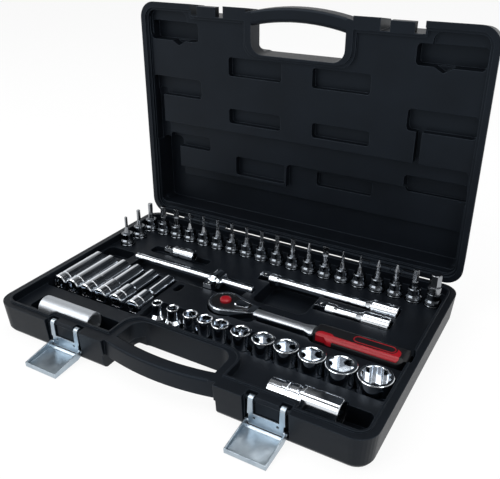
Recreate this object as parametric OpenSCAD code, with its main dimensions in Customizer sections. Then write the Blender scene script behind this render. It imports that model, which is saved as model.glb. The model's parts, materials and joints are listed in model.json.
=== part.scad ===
// Socket wrench set in a blow-moulded case, lid open at a right angle.
// X runs to the right along the front, Y to the back, Z up. The origin is the centre of the base's
// underside. All sizes are in millimetres.

/* [Case] */
// Width of the case
case_w = 386; // [382:1:410]
// Depth of the case, front to back
case_d = 252; // [251:1:262]
// Height of the base half
base_h = 32; // [32:1:38]
// Height of the lid half
lid_h = 34; // [34:1:40]
// How far the base's walls lean in
base_draft = 2.4; // [2:0.1:3]
// How far the lid's walls lean in
lid_draft = 4.2; // [3:0.1:4.4]
// Plan radius of the case's corners
corner_r = 18; // [14:1:24]
// Width of the flat rim round the tray
rim_w = 8.5; // [7:0.5:9]
// Drop from the rim to the tray
tray_drop = 7; // [6:0.5:7.5]
// Gap between the two rims when shut
rim_gap = 0.4; // [0.3:0.1:0.8]
// Height of the sealing ridge on the base's rim
ridge_h = 1.5; // [1:0.1:1.8]
// Width of the sealing ridge
ridge_w = 2; // [1.6:0.1:2.4]

/* [Handle] */
// Half width of the grip slot at its front edge
slot_half = 52; // [46:1:54]
// Width of the grip bar, front to back
bar_w = 14; // [12:0.5:15]
// Thickness of the grip bar in each half
bar_t = 16.5; // [15:0.5:19]
// Depth of the grip slot, front to back
slot_d = 34; // [28:1:35]
// How far the bar bows out before the front
bar_bow = 3; // [0:0.5:4]
// Radius of the bar's outer arc
bow_r = 240; // [200:5:300]
// Rounding of the bar's rear edge at the parting plane
bar_round = 4; // [1:0.5:5]
// Height of the recess under the land behind the slot
foot_h = 6; // [3:0.5:8]

/* [Hinge] */
// Outside radius of a knuckle
knuckle_r = 3.5; // [3.2:0.1:3.6]
// Radius of the hinge pin
hinge_pin_r = 1.5; // [1.2:0.1:1.7]
// Distance from the back walls to the hinge axis
hinge_off = 0.6; // [0.5:0.1:1.2]
// Clearance round a knuckle in the other half's wall
knuckle_gap = 0.5; // [0.4:0.1:0.8]
// Length of one knuckle
knuckle_len = 12; // [10:0.5:12]
// Number of knuckles in one hinge
knuckle_n = 5; // [3:2:5]
// Centre of each hinge from the middle of the case
hinge_x = 115; // [110:1:120]

/* [Latches] */
// Centre of each latch from the middle of the case
latch_x = 106; // [104:1:108]
// Spacing of the link's two arms
arm_pitch = 28.5; // [27:0.5:29]
// Width of an arm
arm_w = 4.4; // [3.6:0.2:4.6]
// Thickness of the latch's sheet metal
sheet_t = 1.2; // [1:0.1:1.3]
// Radius of the moulded bar that a hook turns on
bar_r = 2; // [1.8:0.1:2.2]
// Distance from the bar to the cover's pivot
link_len = 20.4; // [20:0.1:20.6]
// Length of the cover beyond its pivot
cover_len = 34; // [33.8:0.1:34.6]
// Half width of the cover
cover_half = 18.3; // [18.1:0.1:18.5]
// Distance from the cover's pivot to its outer face
cover_drop = 5.4; // [5:0.1:5.6]

/* [Square drive] */
// Size of the square on the drive ends
square_af = 9.5; // [9.4:0.05:9.55]
// Size of the square holes
square_hole = 9.75; // [9.7:0.05:9.9]
// Length of a drive square
square_len = 10.5; // [9.5:0.5:10.5]
// Diameter of the detent balls
ball_d = 3; // [2.6:0.1:3.2]

/* [Sockets] */
// Length of a standing socket
socket_len = 28; // [27:0.5:28]
// Outside diameter of a small socket's drive end
drive_od = 16.6; // [15.6:0.2:16.8]
// Height of the slim neck on the three smallest sockets
neck_h = 14; // [12:0.5:15]
// Length of a deep socket
deep_len = 63; // [60:0.5:64]
// Clearance between a piece and its well
well_gap = 0.6; // [0.5:0.05:0.65]

/* [Ratchet] */
// Radius of the ratchet's head
head_r = 17; // [16:0.5:17.5]
// Thickness of the ratchet's head
head_t = 12.5; // [12:0.25:12.5]
// Number of teeth on the drive gear
gear_teeth = 36; // [24:4:48]
// Outside radius of the drive gear
gear_r = 10.6; // [10:0.1:10.8]
// Width of the ratchet's shank
shank_w = 11; // [10:0.5:12]
// Height of the ratchet's shank
shank_h = 8.4; // [8:0.2:9]
// Length of the ratchet from the head's centre to its end
ratchet_len = 184.5; // [180:0.5:185]
// Length of the ratchet's grip
grip_len = 89; // [86:0.5:90]
// Width of the ratchet's grip
grip_w = 24; // [22:0.5:26]
// Height of the ratchet's grip
grip_h = 17; // [16:0.5:17]
// Depth of the red inlay in the grip
inlay_t = 1.2; // [0.8:0.1:1.5]

/* [Bars] */
// Length of the T-bar's rod
rod_len = 150; // [146:0.5:150]
// Radius of the T-bar's rod
rod_r = 4; // [3.6:0.1:4.1]
// Radius of the sliding head
slide_r = 8.5; // [8:0.1:8.8]
// Length of the long extension
ext_long = 150; // [146:0.5:150]
// Length of the short extension
ext_short = 75; // [73:0.5:75]
// Outside diameter of an extension's female end
ext_od = 16.5; // [15.5:0.1:16.6]

/* [Bit sockets] */
// Length of a bit holder
holder_len = 28; // [26:0.5:28]
// Outside diameter of a bit holder's drive end
holder_od = 16.4; // [15.6:0.2:16.6]
// How far a bit stands out of its holder
bit_out = 20; // [18:0.5:20]
// Spacing of the bit sockets in their row
bit_pitch = 19.22; // [19:0.02:19.3]

/* [Hidden] */
$fn = 48;
W2 = case_w/2;
YF = -case_d/2;             // front face of the case
YB = case_d/2;              // back face of the case
rim_z = base_h;             // parting plane
tray_z = base_h - tray_drop;
tray_in = rim_w;            // rim's inner edge from the outside
hinge_y = YB + hinge_off;   // hinge axis
zone_x = 129;               // the front ridge is set back between these
zone_y = YF + 15.2;
arc_y = YF - bar_bow + bow_r;               // centre of the bar's arcs
slot_y0 = YF - bar_bow + bar_w;
slot_y1 = slot_y0 + slot_d;
bow_x = slot_half + 10;     // the ridge bows round the grip slot
bow_y = slot_y1 + 5;
bay_half = slot_half + 8;   // half width of the bay under the bar
lz = rim_z + rim_gap;       // the lid's rim when shut
lid_top = rim_z + lid_h;

// latch datum: the moulded bar's axis
bar_y = YF + 6;
bar_z = rim_z - 3.6;
hook_r = bar_r + 0.15;
link_y = bar_y - hook_r - sheet_t/2;      // middle of the link's sheet when it hangs
pivot_z = bar_z - link_len;
pin_r = 1.5;
lip_h = 4.6;                // depth of the lip that bears on the lid's catch
catch_y = link_y - cover_drop + lip_h - 0.7;
catch_z = pivot_z + cover_len - sheet_t - 0.4;
rest_tilt = 3.5;            // the open cover's far end is a little lower

// pieces in the tray: the sockets by the front are placed from the front face, the bit sockets
// and the bars before them from the back face, and the ratchet between the two
bits_y = YB - 34;
row_y = YF + 74;
row_top = rim_z + 2.5;
row_x = [-52.2, -33.8, -13.5, 3, 19.7, 41.4, 64.4, 87.2, 111.8, 138.5, 168.4];
row_od = [10.6, 12.2, 14.4, 15.4, 17, 19, 21, 22.6, 24.2, 27.6, 30];
row_af = [7, 8, 10, 11, 12, 13, 15, 16, 17, 19, 22];
deep_x = [-175, -157.2, -138.8, -120.2, -99.6, -77.6];
deep_od = [17.2, 17, 16, 15, 13.6, 11.8];
deep_af = [13, 12, 11, 10, 9, 8];
deep_z = rim_z - 7.5;
plug_y = YF + 29.4;
plug_z = rim_z - 9.8;
plug16_x = -157;
plug16_od = 22;
plug21_x = 95;
plug21_od = 26.6;
plug_len = 63;
adap_y = bits_y - 40;
tbar_y = adap_y - 26;
rat_y = (row_y + tbar_y)/2 + 1.5;
deep_y = tbar_y - 86;
rat_z = rim_z - 7.5;        // middle of the ratchet's shank and grip
head_top = rim_z - 1;
tbar_x = -140.5;
tbar_z = rim_z - 6;
slide_x = -34;
ext_z = rim_z - 8;
ext_l_x = 1.5;
ext_l_y = bits_y - 33;
ext_s_x = 76.5;
ext_s_y = ext_l_y - 24.5;
adap_x = -119;
adap_z = rim_z - 3;
adap_len = 39;
adap_af = 6.3;              // the adapter's small square
adap_hex_r = 4.2;           // corner radius of its six-sided hole
bits_col = [-171, 22.6];
collar_z = rim_z + 7;

// the places of the bit sockets by kind: [column or row position, size, style]
hex_at = [[-2, 3], [-1, 4], [0, 5], [1, 6], [18, 10]];
torx_at = [[3, 2.4], [4, 2.8], [5, 3.3], [6, 3.9], [7, 3.6], [8, 4.2], [9, 4.7], [10, 5.3], [17, 5.8]];
slot_at = [[2, 7], [12, 6.5]];
cross_at = [[11, 4.8], [13, 3.6], [14, 3.2], [15, 4.6], [16, 5.2]];

// ---------- shared shapes ----------

// rounded rectangle between two corners
module rr2(x0, x1, y0, y1, r) {
    translate([x0 + r, y0])
        square([x1 - x0 - 2*r, y1 - y0]);
    translate([x0, y0 + r])
        square([x1 - x0, y1 - y0 - 2*r]);
    for (x = [x0 + r, x1 - r], y = [y0 + r, y1 - r])
        translate([x, y])
            circle(r);
}

module box(x0, x1, y0, y1, z0, z1) {
    translate([x0, y0, z0])
        cube([x1 - x0, y1 - y0, z1 - z0]);
}

module prism(x0, x1, y0, y1, r, z0, z1) {
    translate([0, 0, z0])
        linear_extrude(z1 - z0)
            rr2(x0, x1, y0, y1, r);
}

// cylinder lying along X or along Y
module xcyl(x0, x1, y, z, r) {
    translate([x0, y, z])
        rotate([0, 90, 0])
            cylinder(r = r, h = x1 - x0);
}

module ycyl(y0, y1, x, z, r) {
    translate([x, y0, z])
        rotate([-90, 0, 0])
            cylinder(r = r, h = y1 - y0);
}

// a drafted tub with softened lower edges; the rim is at height h
module tub(h, draft) {
    levels = [[0, draft + 4.6], [1.4, draft + 2], [4.6, draft], [h - 0.2, 0]];
    hull()
        for (l = levels)
            translate([0, 0, l[0]])
                linear_extrude(0.2)
                    for (sx = [-1, 1], sy = [-1, 1])
                        translate([sx*(W2 - corner_r), sy*(case_d/2 - corner_r)])
                            circle(corner_r - l[1], $fn = 32);
}

// the tray's outline, grown by g
module inner2d(g) {
    difference() {
        rr2(-W2 + tray_in - g, W2 - tray_in + g, YF + tray_in - g, YB - tray_in + g,
            corner_r - tray_in + 1 + g);
        rr2(-zone_x + g, zone_x - g, YF - 20, zone_y - g, 4);
        rr2(-bow_x + g, bow_x - g, YF - 60, bow_y - g, 16);
    }
}

// a plate with the outline of its children between two heights, in either order
module slab(za, zb) {
    translate([0, 0, min(za, zb)])
        linear_extrude(abs(zb - za))
            children();
}

// disc with the grip bar's centre; the bar lies between two of them
module arc2d(r) {
    translate([0, arc_y])
        circle(r, $fn = 240);
}

// the grip bar seen from above, where it bows out before the front
module bar2d() {
    intersection() {
        arc2d(bow_r);
        translate([-bay_half + 1.5, YF - bar_bow - 1])
            square([2*bay_half - 3, bar_w + 4]);
    }
}

// the finger slot seen from above; the bar's inner edge follows its outer arc
module slot2d() {
    intersection() {
        rr2(-slot_half, slot_half, slot_y0 - 16, slot_y1, 13);
        arc2d(bow_r - bar_w);
    }
}

// rounds the bar's two edges at the parting plane, for a half that lies below it
module bar_edges() {
    rb = bow_r - bar_w;
    c = bar_round;
    f = bar_round/2;
    translate([0, arc_y, 0])
        rotate_extrude($fn = 240) {
            polygon([[rb - 1, 1], [rb + c, 1], [rb + c, 0], [rb + 0.3*c, -0.3*c], [rb, -c], [rb - 1, -c]]);
            polygon([[bow_r + 1, 1], [bow_r - f, 1], [bow_r - f, 0], [bow_r - 0.3*f, -0.3*f],
                [bow_r, -f], [bow_r + 1, -f]]);
        }
}

// what is cut from the front of one half, between its outside and its rim
module front_cuts(out, rim) {
    s = sign(rim - out);
    // under the grip bar
    slab(out - s, rim - s*bar_t)
        rr2(-bay_half, bay_half, YF - 30, slot_y1 - 1, 10);
    // under the land behind the slot
    slab(out - s, out + s*foot_h)
        rr2(-bay_half, bay_half, slot_y1 - 20, bow_y + 3, 8);
    // the slot itself
    slab(out - s, rim + s)
        slot2d();
    // before the bar's outer arc
    slab(out - s, rim + s)
        difference() {
            rr2(-bay_half + 1.5, bay_half - 1.5, YF - 30, YF + 9, 3);
            arc2d(bow_r);
        }
    intersection() {
        translate([0, 0, rim])
            rotate([s > 0 ? 0 : 180, 0, 0])
                translate([0, s > 0 ? 0 : -2*arc_y, 0])
                    bar_edges();
        box(-slot_half, slot_half, YF - 20, slot_y1 - 5, rim - 10, rim + 10);
    }
}

// ---------- case ----------

// wells for the pieces that lie along X: a trough with straight sides above its axis
module xwell(x0, x1, y, z, r) {
    xcyl(x0, x1, y, z, r);
    box(x0, x1, y - r, y + r, z, rim_z + 5);
}

module ywell(y0, y1, x, z, r) {
    ycyl(y0, y1, x, z, r);
    box(x - r, x + r, y0, y1, z, rim_z + 5);
}

function bit_x(i) = i < 0 ? bits_col[0] : bits_col[0] + i*bit_pitch;
function bit_y(i) = i < 0 ? bits_y + i*bits_col[1] : bits_y;

module tray_wells() {
    g = well_gap;
    // standing sockets: a shared trough, one well each and a channel that joins the wells
    box(row_x[0], row_x[10], row_y - 4, row_y + 4, row_top - socket_len - 0.3, rim_z);
    prism(-64, W2 - tray_in, row_y - 17, row_y + 15.5, 6, rim_z - 14.5, rim_z + 5);
    for (i = [0:10])
        translate([row_x[i], row_y, row_top - socket_len - 0.3])
            cylinder(r = max(row_od[i], drive_od)/2 + g, h = 40);
    // deep sockets, the low saddles between them and the finger trough before them
    box(deep_x[0] - 8.8, deep_x[5] + 8.8, deep_y - g, deep_y + deep_len + g, deep_z - 1, rim_z + 5);
    for (i = [0:5])
        ywell(deep_y - g, deep_y + deep_len + g, deep_x[i], deep_z, max(deep_od[i], drive_od)/2 + g);
    prism(-W2 + tray_in, -67, deep_y - 9, deep_y + 4, 4, rim_z - 20, rim_z + 5);
    // the spare slot beside them
    prism(-64, -56, deep_y + 46, deep_y + 61, 3.9, rim_z - 14, rim_z + 5);
    // spark plug sockets with finger room at the ends
    xwell(plug16_x - g, plug16_x + plug_len + g, plug_y, plug_z, plug16_od/2 + g);
    prism(plug16_x - 11, plug16_x + 6, plug_y - 11, plug_y + 11, 5, rim_z - 22, rim_z + 5);
    prism(plug16_x + plug_len - 6, plug16_x + plug_len + 24, plug_y - 11, plug_y + 11, 5,
        rim_z - 22, rim_z + 5);
    xwell(plug21_x - g, plug21_x + plug_len + g, plug_y, plug_z, plug21_od/2 + g);
    prism(plug21_x + plug_len - 8, W2 - tray_in - 3, plug_y - 11, plug_y + 11, 5,
        rim_z - 24, rim_z + 5);
    // ratchet
    translate([0, rat_y, head_top - head_t - 0.3])
        cylinder(r = head_r + 1.6, h = 40);
    translate([0, rat_y, head_top - head_t - square_len - 0.8])
        cylinder(r = 8.8, h = 30);
    prism(8, grip_x0 + 3.5, rat_y - 8.5, rat_y + 8.5, 2, rat_z - shank_h/2 - 0.5, rim_z + 5);
    prism(8, 36, rat_y - 15, rat_y + 15, 6, head_top - head_t - 0.3, rim_z + 5);
    prism(grip_x0 - 3.5, ratchet_len + 3, rat_y - grip_w/2 - 1.2, rat_y + grip_w/2 + 1.2, 9,
        rat_z - grip_h/2 - 0.3, rim_z + 5);
    // T-bar: an open bay for the sliding head, and a cradle at each end
    prism(tbar_x + 5, tbar_x + rod_len - 5, tbar_y - 20.4, tbar_y + 11, 3, tbar_z - slide_r - 1.2,
        rim_z + 5);
    xwell(tbar_x - 1.2, tbar_x + rod_len + 1.2, tbar_y, tbar_z, rod_r + 0.4);
    // extensions
    xwell(ext_l_x - 1, ext_l_x + ext_long + 1, ext_l_y, ext_z, ext_od/2 + g);
    xwell(ext_s_x - 1, ext_s_x + ext_short + 1, ext_s_y, ext_z, ext_od/2 + g);
    // finger well beside the extensions
    prism(ext_l_x + 14, ext_s_x - 3, tbar_y - 16, ext_l_y + 9, 8, rim_z - 23, rim_z + 5);
    // drive adapter
    xwell(adap_x - 0.8, adap_x + adap_len + 0.8, adap_y, adap_z, 7.4);
    prism(adap_x - 19, adap_x + 6, adap_y - 7.4, adap_y + 7.4, 4, rim_z - 14, rim_z + 5);
    prism(adap_x + adap_len - 4, adap_x + adap_len + 18, adap_y - 7.4, adap_y + 7.4, 4,
        rim_z - 14, rim_z + 5);
    // bit sockets
    for (i = [-2:18])
        translate([bit_x(i), bit_y(i), collar_z - holder_len - 0.3])
            cylinder(r = holder_od/2 + g, h = 60);
    // finger recess between the left wall and the T-bar's end
    prism(-W2 + tray_in + 2, tbar_x - 5.5, tbar_y - 14, tbar_y + 6, 6, rim_z - 18, rim_z + 5);
}

// a latch's place in one half of the case, at the latch's middle x
module latch_place(x) {
    g2 = cover_half + 2.4;
    // the whole front is set back here
    box(x - g2, x + g2, YF - 10, YF + 4.5, -1, rim_z + 1);
    // a channel for each arm, its hook and the cover's side
    for (s = [-1, 1])
        box(x + s*(arm_pitch/2 + 0.9) - 4.7, x + s*(arm_pitch/2 + 0.9) + 4.7, YF - 10, YF + 10.6,
            3.8, rim_z + 1);
}

module latch_bars(x) {
    xcyl(x - cover_half - 3, x + cover_half + 3, bar_y, bar_z, bar_r);
}

// room in a back wall for all the knuckles of a hinge
module hinge_notches() {
    for (s = [-1, 1])
        xcyl(s*hinge_x - knuckle_n*knuckle_len/2 - knuckle_gap,
            s*hinge_x + knuckle_n*knuckle_len/2 + knuckle_gap, hinge_y, rim_z, knuckle_r + knuckle_gap);
}

// knuckles of one half: k0 is the first in use, and their webs run into the back wall
module knuckles(k0, z0, z1) {
    for (s = [-1, 1], k = [k0:2:knuckle_n - 1])
        translate([s*hinge_x + (k - knuckle_n/2)*knuckle_len, 0, 0])
            difference() {
                union() {
                    xcyl(0.25, knuckle_len - 0.25, hinge_y, rim_z, knuckle_r);
                    box(0.25, knuckle_len - 0.25, YB - knuckle_r - 1, hinge_y, z0, z1);
                }
                xcyl(-1, knuckle_len + 1, hinge_y, rim_z, hinge_pin_r + 0.08);
            }
}

module case_base() {
    color("#23262c") {
        difference() {
            union() {
                tub(base_h, base_draft);
                slab(rim_z - bar_t, rim_z)
                    bar2d();
                // sealing ridge, left standing round the tray
                slab(rim_z - 0.5, rim_z + ridge_h)
                    inner2d(ridge_w);
            }
            translate([0, 0, tray_z])
                linear_extrude(tray_drop + 5)
                    inner2d(0);
            tray_wells();
            front_cuts(0, rim_z);
            for (s = [-1, 1])
                latch_place(s*latch_x);
            hinge_notches();
        }
        for (s = [-1, 1])
            intersection() {
                latch_bars(s*latch_x);
                box(-W2, W2, YF + 1, YB, 1, rim_z);
            }
        knuckles(0, rim_z - knuckle_r, rim_z - 0.3);
    }
}

// the lid's inside has four levels, each a depth from its rim
lid_levels = [5, 14, 22, lid_h - 4];

// stiffening pockets of the lid: [x, distance from the front, width, front to back, depth]
lid_pads = [[-50, 61.5, 64, 20, 13], [48, 63, 62, 20, 13], [-50, 115.3, 64, 16.5, 13],
    [50.5, 116.8, 63, 15.5, 13], [-47.5, 176, 63, 22, 22], [52, 176, 64, 16, 28]];

// the outlines of the lid's deeper levels
module lid_level2d(n) {
    in = W2 - tray_in - 1.5;
    back = YB - 14;
    intersection() {
        inner2d(0);
        union() {
            if (n == 1)
                rr2(-in, in, YF + 133.5, back, 5);
            if (n == 2) {
                rr2(-14, in, YF + 163, back, 6);
                rr2(-in, in, YF + 190, back, 6);
            }
            if (n == 3)
                rr2(-in, in, YF + 203, back, 6);
            // the column over the three bit sockets by the left wall
            if (n > 1)
                rr2(-in, -158, YF + 155, back, 6);
        }
    }
}

module lid_shut() {
    difference() {
        union() {
            translate([0, 0, lid_top])
                mirror([0, 0, 1])
                    tub(lid_h - rim_gap, lid_draft);
            slab(lz, lz + bar_t)
                bar2d();
        }
        // the step that takes the base's ridge
        translate([0, 0, lz - 1])
            linear_extrude(1 + ridge_h + 0.6)
                inner2d(ridge_w + 0.6);
        // shallow at the front, deepest over the bits
        slab(lz - 1, lz + lid_levels[0])
            inner2d(0);
        for (n = [1:3])
            slab(lz - 1, lz + lid_levels[n])
                lid_level2d(n);
        // stiffening pockets
        for (p = lid_pads)
            prism(p[0] - p[2]/2, p[0] + p[2]/2, YF + p[1] - p[3]/2, YF + p[1] + p[3]/2, 3,
                lz, lz + p[4]);
        for (s = [-1, 1]) {
            // front corner pocket with a six-sided lobe
            prism(min(s*120, s*183), max(s*120, s*183), YF + 20, YF + 40, 4, lz, lz + 20);
            prism(min(s*134, s*184), max(s*134, s*184), YF + 9, YF + 40, 8, lz, lz + 9);
            translate([s*146, YF + 33, lz])
                rotate([0, 0, 30])
                    cylinder(r = 12, h = 16, $fn = 6);
            // side pocket
            prism(min(s*118, s*184), max(s*118, s*184), YF + 80.5, YF + 102, 4, lz, lz + 14);
        }
        // channels behind the side pockets, and the pockets that they run to
        prism(-W2 + tray_in + 0.5, -171, YF + 96, YF + 160, 4, lz, lz + 16);
        prism(128, 134, YF + 96, YF + 160, 2.5, lz, lz + 14);
        prism(-170, -114, YF + 149, YF + 165, 4, lz, lz + 22);
        prism(119, 184, YF + 150, YF + 170, 4, lz, lz + 27);
        front_cuts(lid_top, lz);
        hinge_notches();
        // the latch's place, leaving the catch
        for (s = [-1, 1])
            difference() {
                box(s*latch_x - cover_half - 2.6, s*latch_x + cover_half + 2.6, YF - 10, YF + 11.6,
                    rim_z - 1, lid_top + 1);
                box(s*latch_x - arm_pitch/2 + arm_w/2 + 0.6, s*latch_x + arm_pitch/2 - arm_w/2 - 0.6,
                    catch_y, YF + 12, rim_z - 2, catch_z);
            }
    }
    knuckles(1, rim_z + 0.3, rim_z + knuckle_r);
}

module case_lid() {
    color("#1c1f24")
        translate([0, hinge_y, rim_z])
            rotate([-90, 0, 0])
                translate([0, -hinge_y, -rim_z])
                    lid_shut();
}

module hinge_pins() {
    color("#b9bcc0")
        for (s = [-1, 1])
            xcyl(s*hinge_x - knuckle_n*knuckle_len/2, s*hinge_x + knuckle_n*knuckle_len/2, hinge_y,
                rim_z, hinge_pin_r);
}

// ---------- latches ----------

module latch_link(x) {
    ao = arm_pitch/2;
    color("#c3c9d2")
        translate([x, 0, 0]) {
            difference() {
                union() {
                    // plate with narrowing arms
                    translate([0, link_y + sheet_t/2, 0])
                        rotate([90, 0, 0])
                            linear_extrude(sheet_t)
                                union() {
                                    translate([-cover_half + sheet_t + 1.4, pivot_z - 3])
                                        square([2*(cover_half - sheet_t - 1.4), 11]);
                                    for (s = [-1, 1])
                                        translate([s*ao, 0])
                                            polygon([[-arm_w/2, bar_z], [arm_w/2, bar_z],
                                                [arm_w/2 + 0.4, pivot_z + 7],
                                                [-arm_w/2 - 0.4, pivot_z + 7]]);
                                }
                    // hooks curled round the moulded bar
                    for (s = [-1, 1])
                        xcyl(s*ao - arm_w/2, s*ao + arm_w/2, bar_y, bar_z, hook_r + sheet_t);
                    // pivot ears
                    xcyl(-cover_half - 0.6, cover_half + 0.6, link_y, pivot_z, pin_r - 0.1);
                }
                for (s = [-1, 1])
                    xcyl(s*ao - 10, s*ao + 10, bar_y, bar_z, hook_r);
                // the curl's mouth
                for (s = [-1, 1])
                    translate([s*ao - 5, bar_y, bar_z])
                        rotate([-30, 0, 0])
                            box(0, 10, 0, 6, -1.9, 1.9);
                // two small holes
                for (s = [-1, 1])
                    ycyl(link_y - 5, link_y + 5, s*10.5, pivot_z + 4.4, 1.1);
                // the ears' shaft is only at the sides of the plate
                box(-cover_half + sheet_t + 1.6, cover_half - sheet_t - 1.6, link_y - 5,
                    link_y - sheet_t/2, pivot_z - 4, pivot_z + 4);
                box(-cover_half + sheet_t + 1.6, cover_half - sheet_t - 1.6, link_y + sheet_t/2,
                    link_y + 5, pivot_z - 4, pivot_z + 4);
            }
        }
}

// side profile of the cover: u runs away from the pivot, w to the inside
module cover_side() {
    polygon([[-2.6, -1.6], [-2.6, 1], [0.6, 2.2], [4, 1.8], [cover_len, -cover_drop + lip_h],
        [cover_len, -cover_drop], [5, -cover_drop], [0, -3.4]]);
}

module latch_cover(x) {
    color("#c3c9d2")
        translate([x, link_y, pivot_z])
            rotate([rest_tilt, 0, 0])
                rotate([90, 0, -90])
                    difference() {
                        union() {
                            for (s = [-1, 1])
                                translate([0, 0, s*(cover_half - sheet_t/2) - sheet_t/2])
                                    linear_extrude(sheet_t)
                                        cover_side();
                            translate([5, -cover_drop, -cover_half])
                                cube([cover_len - 5, sheet_t, 2*cover_half]);
                            translate([cover_len - sheet_t, -cover_drop, -cover_half])
                                cube([sheet_t, lip_h, 2*cover_half]);
                        }
                        translate([0, 0, -cover_half - 5])
                            cylinder(r = pin_r, h = 2*cover_half + 10);
                    }
}

module latch_link_left() { latch_link(-latch_x); }
module latch_link_right() { latch_link(latch_x); }
module latch_cover_left() { latch_cover(-latch_x); }
module latch_cover_right() { latch_cover(latch_x); }

// ---------- sockets ----------

// the hole for a nut: six or twelve points
module nut2d(af, points) {
    circle(r = af/sqrt(3), $fn = 6);
    if (points == 12)
        rotate([0, 0, 30])
            circle(r = af/sqrt(3), $fn = 6);
}

// a socket standing on its drive end; neck is the height of its slim part, 0 if it is straight
module socket(od, af, len, neck, points, dod) {
    low = max(od, dod)/2;
    top = od/2;
    c = 0.5;
    step = neck > 0 ? len - neck : len - 10;
    difference() {
        rotate_extrude()
            polygon([[0, 0], [low - 0.9, 0], [low - 0.2, 0.7], [low - 0.2, 2.6], [low - 0.7, 3],
                [low - 0.7, 3.9], [low - 0.2, 4.3], [low, 4.6], [low, step - 1.4],
                [neck > 0 ? top : low, neck > 0 ? step + 1.6 : step],
                [top, len - c], [top - c, len], [0, len]]);
        // square hole for the drive
        translate([0, 0, -1])
            linear_extrude(square_len + 2)
                square(square_hole, center = true);
        translate([0, 0, -1])
            cylinder(r = min(af*0.42, square_hole*0.48), h = len + 2);
        // nut recess with a lead-in
        translate([0, 0, len - max(8.5, len*0.42)])
            linear_extrude(len)
                nut2d(af, points);
        translate([0, 0, len - 0.6])
            cylinder(r1 = af*0.5, r2 = min(af*0.5 + 1.4, top - 0.7), h = 0.61);
    }
}

module standing(i) {
    color("#d4d7db")
        translate([row_x[i], row_y, row_top - socket_len])
            socket(row_od[i], row_af[i], socket_len, i < 3 ? neck_h : 0, i == 10 ? 12 : 6,
                i < 3 ? drive_od : row_od[i]);
}

module socket_7() { standing(0); }
module socket_8() { standing(1); }
module socket_10() { standing(2); }
module socket_11() { standing(3); }
module socket_12() { standing(4); }
module socket_13() { standing(5); }
module socket_15() { standing(6); }
module socket_16() { standing(7); }
module socket_17() { standing(8); }
module socket_19() { standing(9); }
module socket_22() { standing(10); }

// a deep socket lying along Y, drive end to the front
module deep(i) {
    low = max(deep_od[i], drive_od)/2;
    top = deep_od[i]/2;
    color("#d4d7db")
        translate([deep_x[i], deep_y, deep_z])
            rotate([-90, 0, 0])
                difference() {
                    rotate_extrude()
                        polygon([[0, 0], [low - 0.8, 0], [low, 0.8], [low, 8], [low - 0.6, 8.4],
                            [low - 0.6, 10], [low, 10.4], [low, 24], [top, 24 + 2*(low - top) + 0.1],
                            [top, deep_len - 0.5], [top - 0.5, deep_len], [0, deep_len]]);
                    translate([0, 0, -1])
                        linear_extrude(square_len + 2)
                            square(square_hole, center = true);
                    translate([0, 0, -1])
                        cylinder(r = deep_af[i]*0.44, h = deep_len + 2);
                    translate([0, 0, deep_len - 24])
                        linear_extrude(25)
                            nut2d(deep_af[i], 6);
                }
}

module deep_socket_13() { deep(0); }
module deep_socket_12() { deep(1); }
module deep_socket_11() { deep(2); }
module deep_socket_10() { deep(3); }
module deep_socket_9() { deep(4); }
module deep_socket_8() { deep(5); }

// spark plug sockets lying along X, drive end to the left
module plug_holes(af) {
    translate([0, 0, -1])
        linear_extrude(square_len + 2)
            square(square_hole, center = true);
    translate([0, 0, -1])
        cylinder(r = 4.6, h = plug_len + 2);
    translate([0, 0, plug_len - 46])
        cylinder(r = af/2 - 0.4, h = 50);
    translate([0, 0, plug_len - 16])
        linear_extrude(20)
            nut2d(af, 6);
}

module plug_socket_16() {
    r = plug16_od/2;
    color("#c9ccd1")
        translate([plug16_x, plug_y, plug_z])
            rotate([0, 90, 0])
                difference() {
                    rotate_extrude()
                        polygon([[0, 0], [r - 1.4, 0], [r, 1.4], [r, plug_len - 0.8],
                            [r - 0.8, plug_len], [0, plug_len]]);
                    plug_holes(16);
                }
}

module plug_socket_21() {
    r = plug21_od/2;
    n = r - 2.6;
    color("#d4d7db")
        translate([plug21_x, plug_y, plug_z])
            rotate([0, 90, 0])
                difference() {
                    rotate_extrude()
                        polygon([[0, 0], [n - 1.2, 0], [n, 1.2], [n, 12.5], [n + 1.1, 13.4],
                            [n + 1.1, 17], [n + 0.3, 17.6], [n + 0.3, 19.4], [n + 1.1, 20],
                            [n + 1.1, 26], [n + 0.3, 26.6], [n + 0.3, 28], [r, 29.6],
                            [r, plug_len - 0.8], [r - 0.8, plug_len], [0, plug_len]]);
                    plug_holes(20.8);
                    // six shallow flats on the wide body
                    for (a = [0:60:300])
                        rotate([0, 0, a])
                            translate([r - 0.7, -7, 32])
                                cube([4, 14, plug_len]);
                }
}

module insert(r) {
    difference() {
        cylinder(r = r, h = 14);
        translate([0, 0, -1])
            cylinder(r = 4.8, h = 16);
        for (a = [0:60:300])
            rotate([0, 0, a])
                translate([r - 0.5, 0, -1])
                    cylinder(r = 1.1, h = 16);
    }
}

module plug_insert_16() {
    color("#191a1c")
        translate([plug16_x + plug_len - 32, plug_y, plug_z])
            rotate([0, 90, 0])
                insert(7.5);
}

module plug_insert_21() {
    color("#191a1c")
        translate([plug21_x + plug_len - 32, plug_y, plug_z])
            rotate([0, 90, 0])
                insert(9.9);
}

// ---------- ratchet, from the head's centre along X ----------

module at_ratchet() {
    translate([0, rat_y, 0])
        children();
}

head_b = head_top - head_t;
plate_t = 1.4;
post_x = 21.5;
gear_z0 = head_b + 1.6;
gear_z1 = head_top - plate_t - 0.2;

module head2d(r) {
    circle(r);
    polygon([[4, r*0.97], [34, shank_w/2], [34, -shank_w/2], [4, -r*0.97]]);
}

// the recess that takes the cover plate
module plate2d(g) {
    circle(head_r - 3.2 + g);
    polygon([[0, head_r - 4 + g], [post_x + 5 + g, 5.6 + g], [post_x + 5 + g, -5.6 - g],
        [0, -head_r + 4 - g]]);
}

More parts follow.
